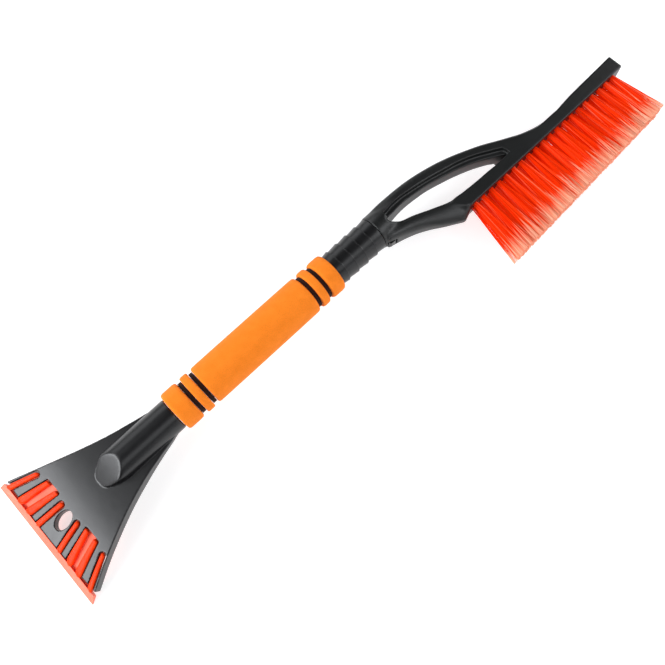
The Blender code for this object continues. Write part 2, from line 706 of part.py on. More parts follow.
fixed = [(make_scraper_head(), BLACK_PLASTIC), (make_scraper_blade(), BLADE_PLASTIC),
         (make_tube(), TUBE_METAL), (make_collar(), BLACK_PLASTIC),
         (make_screw("shank_screw", SCREW_SHANK_X, STEM_RADIUS), STEEL),
         (make_screw("collar_screw", SCREW_COLLAR_X, COLLAR_RADIUS), STEEL)]
fixed += make_grip()
for piece, look in fixed:
    settle(piece, look, AXIS, (0.0, 0.0, 0.0))

brush = [(make_brush_handle(), BLACK_PLASTIC), (make_spring(), STEEL)]
for number in range(TUFTS):
    brush += [(make_tuft(number), BRISTLE), (make_anchor(number), STEEL)]
for piece, look in brush:
    settle(piece, look, BRUSH, PULL_ORIGIN)
settle(make_button(), BLACK_PLASTIC, PRESS, PRESS_ORIGIN)
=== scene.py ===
"""Looks of the windshield ice scraper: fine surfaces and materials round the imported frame.

Every piece is drawn about the handle's axis, in metres: x runs from the blade's edge to the end of
the brush, the bristles point to -y and the scraper plate faces +z. place() then moves it to where
the frame has that axis.
"""
import random
from math import cos, pi, radians, sin, sqrt, tan

import bmesh
import bpy
import numpy as np
from mathutils import Matrix, Vector


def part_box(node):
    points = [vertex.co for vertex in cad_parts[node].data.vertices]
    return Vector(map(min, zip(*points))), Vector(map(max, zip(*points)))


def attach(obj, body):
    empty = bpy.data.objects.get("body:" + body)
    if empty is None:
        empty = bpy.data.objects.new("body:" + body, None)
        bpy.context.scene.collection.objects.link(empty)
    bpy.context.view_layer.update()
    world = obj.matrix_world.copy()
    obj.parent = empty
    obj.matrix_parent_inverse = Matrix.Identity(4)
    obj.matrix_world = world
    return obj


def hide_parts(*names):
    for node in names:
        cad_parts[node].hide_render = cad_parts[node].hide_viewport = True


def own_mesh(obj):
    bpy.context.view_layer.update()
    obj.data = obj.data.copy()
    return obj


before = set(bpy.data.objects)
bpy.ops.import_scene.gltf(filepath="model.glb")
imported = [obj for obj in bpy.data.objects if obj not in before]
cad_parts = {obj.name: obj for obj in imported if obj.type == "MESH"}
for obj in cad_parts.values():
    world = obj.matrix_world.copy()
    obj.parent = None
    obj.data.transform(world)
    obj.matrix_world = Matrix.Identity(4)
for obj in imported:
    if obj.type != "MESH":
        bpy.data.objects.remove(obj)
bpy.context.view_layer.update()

MM = 0.001
GAP = 0.3 * MM              # clearance between pieces that touch in the real tool
STEPS = 144                 # facets round a turned piece
HALF, BRUSH, BUTTON = "scraper_half", "brush_half", "button"

TUBE_END = 84.0 * MM
TUBE_LOW, TUBE_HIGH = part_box("handle_tube")
AXIS = Vector((TUBE_HIGH.x - TUBE_END, (TUBE_LOW.y + TUBE_HIGH.y) / 2, (TUBE_LOW.z + TUBE_HIGH.z) / 2))

# Scraper head
HEAD_NECK_X = -150.0 * MM
HEAD_FRONT_X = -289.2 * MM
HEAD_OUTLINE = [(-150.0, 12.9), (-160.0, 15.8), (-176.0, 19.3), (-204.0, 26.6), (-252.0, 45.0),
                (-286.6, 60.8)]
HEAD_DEEP = 60.0 * MM          # half the height of a cutter that goes right through the head
FRONT_DROP = 22.1 * MM        # the plate's upper face falls by this much from the neck to the front
DROP_POWER = 2.8
PLATE = 2.8 * MM
SKIRT_DEPTH = 13.0 * MM
STEM_RADIUS = 15.0 * MM
STEM_START = -145.3 * MM
NOSE_START = -196.0 * MM
NOSE_TIP = -229.5 * MM
NOSE_POWER = 2.3              # the nose seen from above is a superellipse
NOSE_FULLNESS = 0.62
FACET_TOP = -199.0 * MM
FACET_MARGIN = 1.2 * MM       # the facet's plane passes the stem's top and the plate by this much
FACET_BULGE = 0.6 * MM
HEAD_BORE = (-189.3 * MM, -139.0 * MM)
HEAD_SCREW_X = -166.0 * MM
HOLE_X = -269.3 * MM
HOLE_HALF = (9.5 * MM, 6.2 * MM)
BOSS_WALL = 2.3 * MM
BOSS_DEPTH = 9.0 * MM

# Blade and comb: rib centres, given by |y| at the back and the front of the comb
RIB_ENDS = [(10.6, 14.6), (20.6, 28.3), (31.7, 40.2), (44.9, 56.1)]
RIB_RADII = [2.8, 4.0, 4.0, 2.8]
RIB_BACKS = [-262.5, -258.6, -258.6, -262.5]
WINDOW_BACK_X = -257.5 * MM
WINDOW_BACK = (18.0 * MM, 34.5 * MM)
WINDOW_FRONT = (23.6 * MM, 44.5 * MM)
BLADE_BACK_X = -253.0 * MM
BLADE_LIP_X = -289.5 * MM
BLADE_EDGE_X = -296.9 * MM
BLADE_EDGE_Z = -32.0 * MM
BLADE_EDGE_HALF = 65.0 * MM
BLADE_LIP_HALF = 61.6 * MM
BLADE_LIP_Z = -FRONT_DROP - 0.2 * MM
BLADE_BEVEL = (BLADE_LIP_Z - BLADE_EDGE_Z) / (BLADE_LIP_X - BLADE_EDGE_X)
BLADE_UNDER = PLATE + 0.3 * MM          # the blade's upper face lies this far under the plate's

# Grip and collar
FOAM_RADIUS = 18.8 * MM
SPACER_RADIUS = 16.1 * MM
BORE = 13.3 * MM
COLLAR_RADIUS = 16.1 * MM
COLLAR_DIP = 1.1 * MM
COLLAR_STEPS = (77.8, 66.4, 55.0, 43.6)
COLLAR_BEAD = 0.12 * MM       # how far the rim of each step stands proud
COLLAR_SCREW_X = 41.4 * MM
GRIP = ("foam_end_ring_lower", "spacer_ring_1", "foam_small_ring_lower", "spacer_ring_2",
        "foam_grip_body", "spacer_ring_3", "foam_small_ring_upper", "spacer_ring_4",
        "foam_end_ring_upper")

# Brush handle
SEAM_X = 88.3 * MM
ROOT_RADIUS = 16.6 * MM
SPIGOT_RADIUS = 11.2 * MM
SPIGOT_BORE = 7.5 * MM
SPIGOT_END = 46.0 * MM
BORE_END = 98.0 * MM
BUTTON_X = (90.7 * MM, 98.7 * MM)
BUTTON_Y = (-19.4 * MM, -8.4 * MM)
BUTTON_HALF = 3.6 * MM
ARM_HALF = 2.3 * MM
LATCH_X = 74.0 * MM           # where the button's arm and its tooth end, inside the tube
SPRING_WIRE = 0.4 * MM
SPRING_TURNS = 5
LOOP_HALF = 11.0 * MM
BLOCK_FACE_Y = -44.5 * MM

# Bristles
TUFTS = 20
TUFT_PITCH = 10.0 * MM
TUFT_FIRST_X = 173.5 * MM
TUFT_TIP_FIRST_X = 167.0 * MM
TUFT_TIP_PITCH = 10.24 * MM
TUFT_TIP_Y = (-106.6 * MM, -99.2 * MM)
TUFT_TIP_SPREAD = (7.6 * MM, 11.4 * MM)
TRIM_ENDS = (160.4 * MM, 370.2 * MM)        # the bristles are trimmed to these at both ends
CLUMP_RADIUS = 2.3 * MM
CLUMP_ROWS = ((0.0, 4.5 * MM), (2.2 * MM, 0.0), (0.0, -4.5 * MM))
BUNDLES = 28                # bundles in a clump, and strands in a bundle
STRANDS = 4
STRAND_RADIUS = 0.23 * MM
STRAND_LEVELS = 8
ROOT_Y = BLOCK_FACE_Y + 7.0 * MM


# ---------------------------------------------------------------- mesh helpers

def add(obj):
    bpy.context.scene.collection.objects.link(obj)
    return obj


def mesh_object(name, verts, faces):
    mesh = bpy.data.meshes.new(name)
    mesh.from_pydata([tuple(v) for v in verts], [], faces)
    return add(bpy.data.objects.new(name, mesh))


def cleaned(obj, merge=0.002 * MM):
    """Welds double points and turns the faces outward."""
    maker = bmesh.new()
    maker.from_mesh(obj.data)
    bmesh.ops.remove_doubles(maker, verts=maker.verts, dist=merge)
    bmesh.ops.recalc_face_normals(maker, faces=maker.faces)
    maker.to_mesh(obj.data)
    maker.free()
    return obj


def baked(obj):
    """The same object with its modifiers and its place applied."""
    bpy.context.view_layer.update()
    evaluated = obj.evaluated_get(bpy.context.evaluated_depsgraph_get())
    mesh = bpy.data.meshes.new_from_object(evaluated)
    mesh.transform(obj.matrix_world)
    name = obj.name
    bpy.data.objects.remove(obj, do_unlink=True)
    return cleaned(add(bpy.data.objects.new(name, mesh)))


def combine(target, tool, operation):
    step = target.modifiers.new("boolean", "BOOLEAN")
    step.solver = "EXACT"
    step.operation = operation
    step.object = tool
    name = target.name
    done = baked(target)
    bpy.data.objects.remove(tool, do_unlink=True)
    done.name = name
    return done


def join(target, tool):
    return combine(target, tool, "UNION")


def cut(target, tool):
    return combine(target, tool, "DIFFERENCE")


def common(target, tool):
    return combine(target, tool, "INTERSECT")


def join_meshes(first, second):
    """Puts a second mesh into the same object as it is; reskinned() later merges what overlaps."""
    maker = bmesh.new()
    maker.from_mesh(first.data)
    maker.from_mesh(second.data)
    maker.to_mesh(first.data)
    maker.free()
    bpy.data.objects.remove(second, do_unlink=True)
    return first


def reskinned(obj, voxel, passes):
    """One even skin over the whole shape, its edges softened as a mould leaves them."""
    skin = obj.modifiers.new("skin", "REMESH")
    skin.mode = "VOXEL"
    skin.voxel_size = voxel
    soften = obj.modifiers.new("soften", "SMOOTH")
    soften.factor = 0.5
    soften.iterations = passes
    return baked(obj)


def softened(obj, weight_at, passes):
    """Rounds a skin off further where weight_at(place) is over 0; 1 is the full effect."""
    group = obj.vertex_groups.new(name="soft")
    for vert in obj.data.vertices:
        group.add([vert.index], weight_at(vert.co), "REPLACE")
    soften = obj.modifiers.new("soften", "SMOOTH")
    soften.factor = 0.5
    soften.iterations = passes
    soften.vertex_group = group.name
    return baked(obj)


def rounded(points, segments=6):
    """Rounds the corners of a closed outline of (x, y, radius) points."""
    out = []
    count = len(points)
    for i, (x, y, radius) in enumerate(points):
        here = Vector((x, y))
        before = Vector(points[i - 1][:2]) - here
        after = Vector(points[(i + 1) % count][:2]) - here
        if radius <= 0:
            out.append(tuple(here))
            continue
        half = before.angle(after) / 2
        reach = min(radius / tan(half), 0.49 * before.length, 0.49 * after.length)
        start, end = here + before.normalized() * reach, here + after.normalized() * reach
        for k in range(segments + 1):
            t = k / segments
            out.append(tuple((1 - t) ** 2 * start + 2 * t * (1 - t) * here + t * t * end))
    return out


def lathe(name, profile, steps=STEPS):
    """Turns a closed section of (x, radius) points round the axis."""
    angles = [2 * pi * i / steps for i in range(steps)]
    verts = [(x, r * cos(a), r * sin(a)) for x, r in profile for a in angles]
    count = len(profile)
    faces = []
    for p in range(count):
        q = (p + 1) % count
        for i in range(steps):
            j = (i + 1) % steps
            faces.append((p * steps + i, p * steps + j, q * steps + j, q * steps + i))
    return cleaned(mesh_object(name, verts, faces))


def prism(name, outline, low, high, plane="XY"):
    """A flat outline given a thickness; plane XZ is a side view whose thickness runs along y."""
    maker = bmesh.new()
    rings = []
    for level in (low, high):
        ring = [(x, y, level) if plane == "XY" else (x, level, y) for x, y in outline]
        rings.append([maker.verts.new(place) for place in ring])
    for i in range(len(outline)):
        j = (i + 1) % len(outline)
        maker.faces.new((rings[0][i], rings[0][j], rings[1][j], rings[1][i]))
    maker.faces.new(rings[0])
    maker.faces.new(list(reversed(rings[1])))
    mesh = bpy.data.meshes.new(name)
    maker.to_mesh(mesh)
    maker.free()
    return cleaned(add(bpy.data.objects.new(name, mesh)))


def curve_slab(name, outlines, corners, low, high, rounding, resolution=14):
    """A slab with smooth outlines and rounded rims; points whose index is in corners are sharp."""
    curve = bpy.data.curves.new(name, "CURVE")
    curve.dimensions = "2D"
    curve.fill_mode = "BOTH"
    curve.resolution_u = resolution
    for outline, sharp in zip(outlines, corners):
        spline = curve.splines.new("BEZIER")
        spline.bezier_points.add(len(outline) - 1)
        spline.use_cyclic_u = True
        for index, (place, point) in enumerate(zip(outline, spline.bezier_points)):
            point.co = (*place, 0.0)
            point.handle_left_type = "VECTOR" if index in sharp else "AUTO"
            point.handle_right_type = point.handle_left_type
    curve.extrude = (high - low) / 2 - rounding
    curve.bevel_depth = rounding
    curve.bevel_resolution = 5 if rounding else 0
    curve.offset = -rounding
    obj = add(bpy.data.objects.new(name, curve))
    obj.location = (0.0, 0.0, (high + low) / 2)
    return baked(obj)


def rod(name, start, end, radius, facets=48):
    """A round bar between two points."""
    start, end = Vector(start), Vector(end)
    run = end - start
    turn = run.to_track_quat("Z", "Y").to_matrix()
    verts = [start + turn @ Vector((radius * cos(a), radius * sin(a), h))
             for h in (0.0, run.length) for a in (2 * pi * i / facets for i in range(facets))]
    faces = [(i, (i + 1) % facets, facets + (i + 1) % facets, facets + i) for i in range(facets)]
    faces += [tuple(range(facets)), tuple(range(facets, 2 * facets))]
    return cleaned(mesh_object(name, verts, faces))


def ellipse(centre_x, half_x, half_y, count=96):
    return [(centre_x + half_x * cos(2 * pi * i / count), half_y * sin(2 * pi * i / count))
            for i in range(count)]


def between(value, low, high):
    """0 below low, 1 over high, and straight between them."""
    return min(1.0, max(0.0, (value - low) / (high - low)))


def scaled(points):
    return [(x * MM, y * MM) for x, y in points]


def spaced(low, high, count):
    return [low + (high - low) * i / (count - 1) for i in range(count)]


# ---------------------------------------------------------------- material helpers

class Look:
    """A node material with one Principled shader, and the coordinates fixed to its piece."""

    def __init__(self, name, roughness, **constants):
        self.material = bpy.data.materials.new(name)
        self.material.use_nodes = True
        self.nodes = self.material.node_tree.nodes
        self.links = self.material.node_tree.links
        self.shader = self.nodes["Principled BSDF"]
        self.shader.inputs["Roughness"].default_value = roughness
        for socket, value in constants.items():
            self.shader.inputs[socket.replace("_", " ")].default_value = value
        self.place = self.nodes.new("ShaderNodeTexCoord").outputs["Object"]
        self.height = None

    def noise(self, size, detail=3.0, stretch=None):
        """Noise whose features are about this many metres across."""
        node = self.nodes.new("ShaderNodeTexNoise")
        node.inputs["Scale"].default_value = 1.0 / size
        node.inputs["Detail"].default_value = detail
        self.links.new(self.stretched(stretch), node.inputs["Vector"])
        return node.outputs["Fac"]

    def stretched(self, stretch):
        if stretch is None:
            return self.place
        node = self.nodes.new("ShaderNodeMapping")
        node.inputs["Scale"].default_value = stretch
        self.links.new(self.place, node.inputs["Vector"])
        return node.outputs["Vector"]

    def cells(self, size):
        node = self.nodes.new("ShaderNodeTexVoronoi")
        node.inputs["Scale"].default_value = 1.0 / size
        self.links.new(self.place, node.inputs["Vector"])
        return node.outputs["Distance"]

    def attribute(self, name):
        node = self.nodes.new("ShaderNodeAttribute")
        node.attribute_name = name
        return node.outputs["Fac"]

    def pointed(self):
        return self.nodes.new("ShaderNodeNewGeometry").outputs["Pointiness"]

    def ramp(self, value, stops):
        """Colours along a value: stops are (position, colour), a colour as linear red, green, blue."""
        node = self.nodes.new("ShaderNodeValToRGB")
        marks = node.color_ramp.elements
        while len(marks) < len(stops):
            marks.new(1.0)
        for mark, (position, colour) in zip(marks, stops):
            mark.position = position
            mark.color = (*colour, 1.0)
        self.links.new(value, node.inputs["Fac"])
        return node.outputs["Color"]

    def spread(self, value, low, high):
        """Spreads a 0 to 1 value over another range."""
        node = self.nodes.new("ShaderNodeMapRange")
        node.inputs["To Min"].default_value = low
        node.inputs["To Max"].default_value = high
        self.links.new(value, node.inputs["Value"])
        return node.outputs["Result"]

    def mix(self, factor, first, second, mode="MIX"):
        node = self.nodes.new("ShaderNodeMix")
        node.data_type = "RGBA"
        node.blend_type = mode
        for key, source in (("Factor", factor), ("A", first), ("B", second)):
            sockets = [s for s in node.inputs if s.name == key and s.enabled]
            if isinstance(source, bpy.types.NodeSocket):
                self.links.new(source, sockets[-1])
            elif isinstance(source, tuple):
                sockets[-1].default_value = (*source, 1.0)
            else:
                sockets[-1].default_value = source
        return [s for s in node.outputs if s.enabled][0]

    def maths(self, operation, first, second):
        node = self.nodes.new("ShaderNodeMath")
        node.operation = operation
        for slot, source in zip(node.inputs, (first, second)):
            if isinstance(source, bpy.types.NodeSocket):
                self.links.new(source, slot)
            else:
                slot.default_value = source
        return node.outputs["Value"]

    def bump(self, value, depth, strength=1.0):
        """Adds relief of this depth in metres on top of any relief so far."""
        node = self.nodes.new("ShaderNodeBump")
        node.inputs["Distance"].default_value = depth
        node.inputs["Strength"].default_value = strength
        self.links.new(value, node.inputs["Height"])
        if self.height:
            self.links.new(self.height, node.inputs["Normal"])
        self.height = node.outputs["Normal"]

    def done(self, colour, roughness=None):
        self.links.new(colour, self.shader.inputs["Base Color"])
        if roughness:
            self.links.new(roughness, self.shader.inputs["Roughness"])
        if self.height:
            self.links.new(self.height, self.shader.inputs["Normal"])
        return self.material


def moulded_plastic(name, dark, light, roughness, grain):
    """Black moulded plastic: a fine spark-eroded grain, faint cloudy patches and rubbed edges."""
    look = Look(name, roughness)
    body = look.ramp(look.noise(28 * MM, 4.0), [(0.3, dark), (0.7, light)])
    rubbed = look.ramp(look.pointed(), [(0.52, (0.0, 0.0, 0.0)), (0.6, (1.0, 1.0, 1.0))])
    patchy = look.ramp(look.noise(3 * MM, 5.0), [(0.45, (0.0, 0.0, 0.0)), (0.75, (0.6, 0.6, 0.6))])
    worn = look.mix(1.0, rubbed, patchy, "MULTIPLY")
    colour = look.mix(worn, body, tuple(4.0 * c for c in light))
    look.bump(look.noise(0.35 * MM, 2.0), grain)
    look.bump(look.noise(9 * MM, 2.0), 0.05 * MM)
    rough = look.spread(look.noise(5 * MM, 4.0), roughness - 0.05, roughness + 0.06)
    return look.done(colour, rough)


def foam_look():
    """Closed-cell foam: fine open pores with painted shade at their centres, a slightly cloudy colour and a
    soft sheen.
    """
    look = Look("foam_orange", 0.85, Sheen_Weight=0.04, Sheen_Roughness=0.6, Specular_IOR_Level=0.12)
    cloud = look.ramp(look.noise(7 * MM, 4.0), [(0.3, (0.93, 0.225, 0.012)), (0.7, (1.0, 0.25, 0.017))])
    # Each pore's centre is darkened: painted shade in the pores, on top of their bump.
    pores = look.ramp(look.cells(0.75 * MM), [(0.1, (0.84, 0.84, 0.84)), (0.5, (1.0, 1.0, 1.0))])
    colour = look.mix(1.0, cloud, pores, "MULTIPLY")
    look.bump(look.cells(0.75 * MM), 0.12 * MM, 0.7)
    look.bump(look.noise(0.3 * MM, 3.0), 0.06 * MM, 0.6)
    rough = look.spread(look.noise(2 * MM), 0.78, 0.95)
    return look.done(colour, rough)


def spacer_look():
    """Dark foam between the orange rings."""
    look = Look("foam_black", 0.9, Sheen_Weight=0.05, Specular_IOR_Level=0.2)
    colour = look.ramp(look.noise(2 * MM, 4.0), [(0.3, (0.012, 0.004, 0.0025)),
                                                 (0.7, (0.026, 0.008, 0.005))])
    look.bump(look.cells(0.7 * MM), 0.12 * MM, 0.7)
    return look.done(colour, look.spread(look.noise(1.5 * MM), 0.8, 0.95))


def blade_look():
    """Orange polycarbonate: pale where it is thin, deep where the ribs make it thick."""
    look = Look("polycarbonate_orange", 0.3, Specular_IOR_Level=0.06)
    thin = look.ramp(look.noise(14 * MM, 4.0), [(0.3, (0.97, 0.17, 0.10)), (0.7, (1.0, 0.21, 0.13))])
    thick = look.ramp(look.noise(9 * MM, 4.0), [(0.3, (0.88, 0.034, 0.003)), (0.7, (0.98, 0.056, 0.007))])
    depth = look.ramp(look.attribute("thick"), [(0.1, (0.0, 0.0, 0.0)), (0.85, (1.0, 1.0, 1.0))])
    colour = look.mix(depth, thin, thick)
    scratches = look.noise(1.2 * MM, 3.0, stretch=(0.12, 1.0, 1.0))
    look.bump(scratches, 0.02 * MM, 0.5)
    look.bump(look.noise(6 * MM, 2.0), 0.06 * MM, 0.5)
    return look.done(colour, look.spread(look.noise(3 * MM, 4.0), 0.16, 0.34))


def bristle_look():
    """PVC bristles: deep orange-red at the root, and pale where the split tips scatter light. The colour
    also feeds a faint emission: a painted glow that lifts the shade among the strands.
    """
    look = Look("bristle_orange_painted_glow", 0.5, Specular_IOR_Level=0.05, Emission_Strength=0.16)
    jagged = look.maths("ADD", look.attribute("along"), look.attribute("offset"))
    colour = look.ramp(jagged, [(0.0, (0.86, 0.036, 0.0008)), (0.2, (0.93, 0.045, 0.001)),
                                (0.73, (0.95, 0.055, 0.002)), (0.83, (0.94, 0.33, 0.19)),
                                (1.0, (0.90, 0.52, 0.36))])
    tint = look.ramp(look.attribute("tint"), [(0.0, (0.70, 0.52, 0.45)), (0.3, (0.96, 0.88, 0.88)),
                                              (1.0, (1.0, 1.0, 1.0))])
    colour = look.mix(1.0, colour, tint, "MULTIPLY")
    pale = look.ramp(look.attribute("tint"), [(0.86, (0.0, 0.0, 0.0)), (0.95, (0.32, 0.32, 0.32))])
    colour = look.mix(pale, colour, (1.0, 0.40, 0.24))
    # Emission in the bristles' own colour: a painted glow that lifts the shade among the strands; the
    # bristles are no lamp.
    look.links.new(colour, look.shader.inputs["Emission Color"])
    look.bump(look.noise(0.4 * MM, 2.0, stretch=(1.0, 0.1, 1.0)), 0.02 * MM, 0.5)
    return look.done(colour, look.spread(look.noise(2 * MM), 0.34, 0.5))


def metal_look(name, dark, light, roughness, grain):
    """Drawn metal with lengthwise marks and a faint tarnish."""
    look = Look(name, roughness, Metallic=1.0)
    colour = look.ramp(look.noise(6 * MM, 5.0), [(0.3, dark), (0.7, light)])
    look.bump(look.noise(0.5 * MM, 3.0, stretch=(0.05, 1.0, 1.0)), grain)
    return look.done(colour, look.spread(look.noise(2 * MM, 4.0), roughness - 0.08, roughness + 0.12))


def floor_look():
    """A white sweep that is lit evenly enough to lose almost all shadow."""
    look = Look("studio_floor", 0.9, Specular_IOR_Level=0.0, Emission_Color=(1.0, 1.0, 1.0, 1.0),
                Emission_Strength=0.66)
    colour = look.ramp(look.noise(90 * MM, 3.0), [(0.3, (0.59, 0.59, 0.59)), (0.7, (0.61, 0.61, 0.61))])
    return look.done(colour)


# ---------------------------------------------------------------- placing pieces

def place(obj, material, body, nodes, slot, sharp=40.0):
    """Moves a finished piece to the frame's axis, and ties it to its body, its nodes and its finish."""
    obj.data.transform(Matrix.Translation(AXIS))
    obj.data.materials.clear()
    obj.data.materials.append(material)
    obj.data.shade_smooth()
    if sharp:
        obj.data.set_sharp_from_angle(angle=radians(sharp))
    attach(obj, body)
    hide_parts(*nodes)
    return obj


def float_attribute(obj, name, values):
    data = obj.data.attributes.new(name, "FLOAT", "POINT")
    data.data.foreach_set("value", np.asarray(values, np.float32))


# ---------------------------------------------------------------- scraper head and blade

def face_z(x):
    """Height of the plate's upper face over the axis."""
    share = max(0.0, (HEAD_NECK_X - x) / (HEAD_NECK_X - HEAD_FRONT_X))
    return -FRONT_DROP * share ** DROP_POWER


def skirt_z(x):
    share = min(1.0, max(0.0, (HEAD_NECK_X - x) / (50.0 * MM)))
    return face_z(x) - SKIRT_DEPTH * (0.35 + 0.65 * share)


def side_slab(name, x_from, x_to, top, bottom, half_width=80.0 * MM, count=48):
    """Everything between two heights, each a function of x."""
    stations = spaced(x_from, x_to, count)
    outline = [(x, top(x)) for x in stations] + [(x, bottom(x)) for x in reversed(stations)]
    return prism(name, outline, -half_width, half_width, plane="XZ")


def head_plan(name, inset=0.0, past_front=0.0, neck=HEAD_NECK_X):
    """The fan outline seen from above, pulled in by inset and run on past the front."""
    half = [(x, y - inset) for x, y in scaled(HEAD_OUTLINE) if x <= neck]
    (x1, y1), (x2, y2) = half[-2], half[-1]
    slope = (y2 - y1) / (x1 - x2)
    half[-1] = (x2 - past_front, y2 + slope * past_front)
    last = len(half) - 1
    front = [(HEAD_FRONT_X - past_front, 0.0)]
    full = half + front + [(x, -y) for x, y in reversed(half)]
    return curve_slab(name, [full], [(0, last, last + 2, 2 * last + 2)], -HEAD_DEEP, HEAD_DEEP, 0.0)


def make_stem():
    """The round stem, its nose drawn in to a rounded tip and its top cut off at a slant."""
    stem = lathe("stem", [(STEM_START, 0.0), (STEM_START, STEM_RADIUS), (NOSE_TIP - 2 * MM, STEM_RADIUS),
                          (NOSE_TIP - 2 * MM, 0.0)], steps=96)
    length = NOSE_START - NOSE_TIP
    reach = STEM_RADIUS + 0.2 * MM
    side = []
    for t in spaced(0.0, 1.0, 25):
        side.append((NOSE_START - length * t, reach * (1 - t ** NOSE_POWER) ** NOSE_FULLNESS))
    nose = [(STEM_START + MM, 20 * MM), (NOSE_START, 20 * MM)] + side
    nose += [(x, -y) for x, y in reversed(side[:-1])] + [(NOSE_START, -20 * MM), (STEM_START + MM, -20 * MM)]
    stem = common(stem, prism("nose", nose, -20 * MM, 30 * MM))
    top = STEM_RADIUS + FACET_MARGIN
    slant = (top - face_z(NOSE_TIP) + FACET_MARGIN) / (FACET_TOP - NOSE_TIP)
    wedge = [(FACET_TOP + 20 * MM, top + 20 * MM * slant)]
    for x in spaced(FACET_TOP, NOSE_TIP, 16):
        share = (FACET_TOP - x) / (FACET_TOP - NOSE_TIP)
        wedge.append((x, top - slant * (FACET_TOP - x) + FACET_BULGE * sin(pi * share)))
    wedge.append((NOSE_TIP - 15 * MM, face_z(NOSE_TIP) - FACET_MARGIN - 15 * MM * slant))
    wedge.append((wedge[-1][0], wedge[0][1]))
    stem = cut(stem, prism("facet", wedge, -30 * MM, 30 * MM, plane="XZ"))
    return reskinned(stem, 0.7 * MM, 18)


def rib_line(index, side):
    """Both ends of a rib's centre line."""
    back_y, front_y = (side * MM * v for v in RIB_ENDS[index])
    back_x = RIB_BACKS[index] * MM
    return Vector((back_x, back_y, 0.0)), Vector((HEAD_FRONT_X, front_y, 0.0))


def comb_slot(name, index, side):
    """A slot for one rib, round at its back and open at the plate's front."""
    back, front = (end.xy for end in rib_line(index, side))
    along = (front - back).normalized()
    across = Vector((-along.y, along.x))
    reach = RIB_RADII[index] * MM + 0.3 * MM
    arc = [pi * (i / 16 - 0.5) for i in range(17)]
    outline = [back + reach * (sin(a) * across - cos(a) * along) for a in arc]
    outline += [outline[-1] + 35 * MM * along, outline[0] + 35 * MM * along]
    return prism(name, [tuple(p) for p in outline], -HEAD_DEEP, HEAD_DEEP)


def comb_window(name, side):
    """A wide window for two ribs, open at the plate's front, its back corners rounded."""
    past = 10.0 * MM
    share = past / (WINDOW_BACK_X - HEAD_FRONT_X)
    inner = WINDOW_FRONT[0] + (WINDOW_FRONT[0] - WINDOW_BACK[0]) * share
    outer = WINDOW_FRONT[1] + (WINDOW_FRONT[1] - WINDOW_BACK[1]) * share
    front = HEAD_FRONT_X - past
    outline = [(WINDOW_BACK_X, side * WINDOW_BACK[0], 1.2 * MM), (front, side * inner, 0),
               (front, side * outer, 0), (WINDOW_BACK_X, side * WINDOW_BACK[1], 1.2 * MM)]
    return prism(name, rounded(outline), -HEAD_DEEP, HEAD_DEEP)


def screw_hole(x, surface):
    """Countersunk hole for a screw, from below."""
    cutter = lathe("screw_hole", [(9 * MM, 0), (9 * MM, 1.8 * MM), (surface - 1.9 * MM, 1.8 * MM),
                                  (surface - 1.9 * MM, 3.1 * MM), (surface + 3 * MM, 3.1 * MM),
                                  (surface + 3 * MM, 0)], steps=40)
    cutter.rotation_euler = (0, pi / 2, 0)
    cutter.location = (x, 0, 0)
    return baked(cutter)


def make_head():
    head = head_plan("scraper_head_shell")
    head = common(head, side_slab("outer", HEAD_NECK_X + MM, HEAD_FRONT_X, face_z, skirt_z))
    hollow = head_plan("hollow", inset=PLATE, past_front=20 * MM, neck=-175 * MM)
    hollow = common(hollow, side_slab("under", -140 * MM, -310 * MM, lambda x: face_z(x) - PLATE,
                                      lambda x: face_z(x) - 30 * MM))
    head = cut(head, hollow)
    boss = prism("boss", ellipse(HOLE_X, HOLE_HALF[0] + BOSS_WALL, HOLE_HALF[1] + BOSS_WALL),
                 -HEAD_DEEP, HEAD_DEEP)
    boss = common(boss, side_slab("boss_height", -240 * MM, -300 * MM, lambda x: face_z(x) - 0.4 * PLATE,
                                  lambda x: face_z(x) - BOSS_DEPTH))
    head = join(head, boss)
    for side in (1, -1):
        head = cut(head, comb_window("window", side))
        for index in (0, 3):
            head = cut(head, comb_slot("slot", index, side))
    head = cut(head, prism("hole", ellipse(HOLE_X, *HOLE_HALF), -HEAD_DEEP, HEAD_DEEP))
    head = join(head, make_stem())
    head = cut(head, rod("bore", (HEAD_BORE[0], 0, 0), (HEAD_BORE[1], 0, 0), BORE))
    head = cut(head, screw_hole(HEAD_SCREW_X, STEM_RADIUS))
    head = reskinned(head, 0.6 * MM, 3)
    head.name = "scraper_head_shell"
    return head


def make_rib(back, front, radius, back_share, blunt):
    """One rib of the blade: narrow at its back, wider and sloped down at its front."""
    rings, count = 40, 32
    along = front - back
    verts = []
    for i in range(rings):
        t = 0.5 - 0.5 * cos(pi * i / (rings - 1))
        x, y = (back + along * t).xy
        half_width = radius * (back_share + (1 - back_share) * t)
        behind = min(1.0, t * along.length / (radius * blunt))
        ahead = min(1.0, (1 - t) * along.length / (1.5 * radius))
        close = max(0.03, sqrt(1 - (1 - behind) ** 2))
        nose = max(0.03, sqrt(1 - (1 - ahead) ** 2.2))
        width = half_width * close * nose
        top = face_z(x) + 1.0 * MM * close
        bottom = face_z(x) - 4.6 * MM
        middle = (top + bottom) / 2
        height = (top - bottom) / 2 * close * (0.35 + 0.65 * nose)
        for k in range(count):
            a = 2 * pi * k / count
            c, s = cos(a), sin(a)
            across = width * abs(c) ** 0.7 * (1 if c > 0 else -1)
            over = height * abs(s) ** 0.6 * (1 if s > 0 else -1)
            verts.append((x, y + across, middle + over))
    faces = []
    for i in range(rings - 1):
        for k in range(count):
            j = (k + 1) % count
            faces.append((i * count + k, i * count + j, (i + 1) * count + j, (i + 1) * count + k))
    faces += [tuple(range(count)), tuple(range((rings - 1) * count, rings * count))]
    return cleaned(mesh_object("rib", verts, faces))


